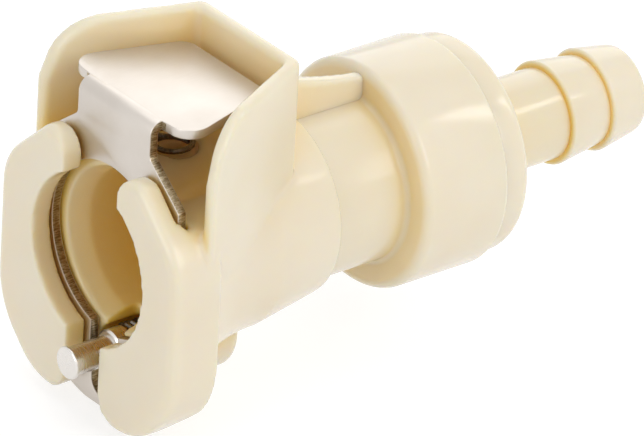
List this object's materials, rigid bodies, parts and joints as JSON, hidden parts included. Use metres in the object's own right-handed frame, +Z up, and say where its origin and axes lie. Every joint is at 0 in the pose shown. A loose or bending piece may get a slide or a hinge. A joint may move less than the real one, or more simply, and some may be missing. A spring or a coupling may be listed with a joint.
{
  "type": "quick-disconnect coupling body",
  "caption": "In-line coupling body with a thumb latch in a raised guard, a valved socket, a collar and a barbed hose tail, its latch held down and ready.",
  "frame": {"origin": "under the middle of the whole coupling's box, at the height of the latch tab's lowest edge", "axes": "+X along the coupling axis from the mouth to the hose end, +Z up to the thumb pad, +Y to the left seen from the mouth"},
  "size_m": [0.0716, 0.0284, 0.0369],
  "materials": {
    "almond_plastic": "glossy moulded",
    "valve_plastic": "satin moulded",
    "stainless_sheet": "fine rolled grain, sheared edges",
    "pin_steel": "turned and polished",
    "spring_steel": "drawn wire",
    "seal_rubber": "matte"
  },
  "bodies": {
    "housing": {"coupling_body": "almond_plastic", "hose_barb": "almond_plastic", "barb_seal": "seal_rubber", "latch_spring": "spring_steel", "pin_spring": "spring_steel", "valve_spring": "spring_steel"},
    "latch": {"thumb_latch": "stainless_sheet"},
    "pin": {"latch_pin": "pin_steel"},
    "valve": {"valve_poppet": "valve_plastic", "poppet_seal": "seal_rubber"}
  },
  "joints": [
    {"name": "latch_slide", "type": "slide", "parent": "housing", "child": "latch", "axis": [0, 0, 1], "range_m": [0, 0.0022], "stiffness_N_per_m": 1200, "deforming": ["latch_spring"]},
    {"name": "pin_slide", "type": "slide", "parent": "housing", "child": "pin", "axis": [1, 0, 0], "range_m": [0, 0.0026], "stiffness_N_per_m": 300, "deforming": ["pin_spring"]},
    {"name": "valve_slide", "type": "slide", "parent": "housing", "child": "valve", "axis": [1, 0, 0], "range_m": [0, 0.004], "stiffness_N_per_m": 400, "springref_m": -0.002, "deforming": ["valve_spring"]}
  ],
  "couplings": [
    {"joint": "pin_slide", "follows": "latch_slide", "ratio": 1.18}
  ]
}
